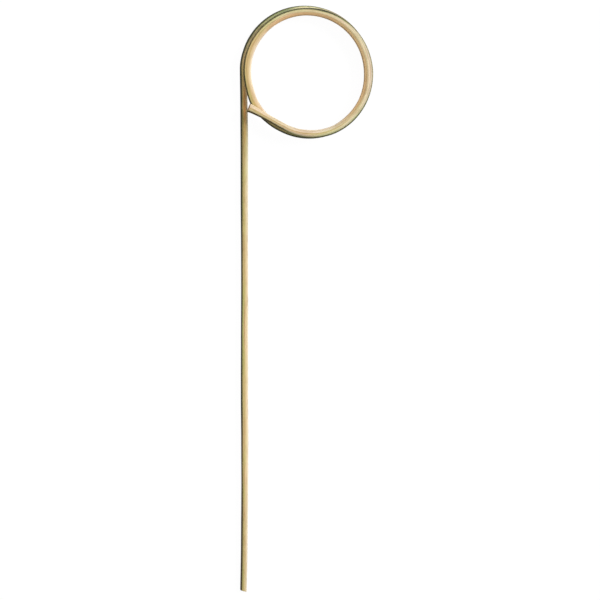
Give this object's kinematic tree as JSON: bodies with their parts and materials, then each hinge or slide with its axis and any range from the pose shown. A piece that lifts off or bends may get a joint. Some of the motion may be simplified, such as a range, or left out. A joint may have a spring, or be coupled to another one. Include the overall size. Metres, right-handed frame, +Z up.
{
  "type": "bamboo ring cocktail pick",
  "caption": "Long split-bamboo cocktail pick, bent at its upper end into a coiled finger ring, with a blunt cut tip and a flared free end.",
  "frame": {"origin": "under the middle of the pick's box, on the surface that the pick lies on", "axes": "+Y along the shaft towards the ring, +Z up out of the ring's flat side, the skin side of the shaft at -X"},
  "size_m": [0.034, 0.15, 0.0055],
  "materials": {
    "bamboo": "split bamboo, fine fibres, satin dark green skin on one side"
  },
  "bodies": {
    "root": {"pick": "bamboo"}
  },
  "joints": []
}
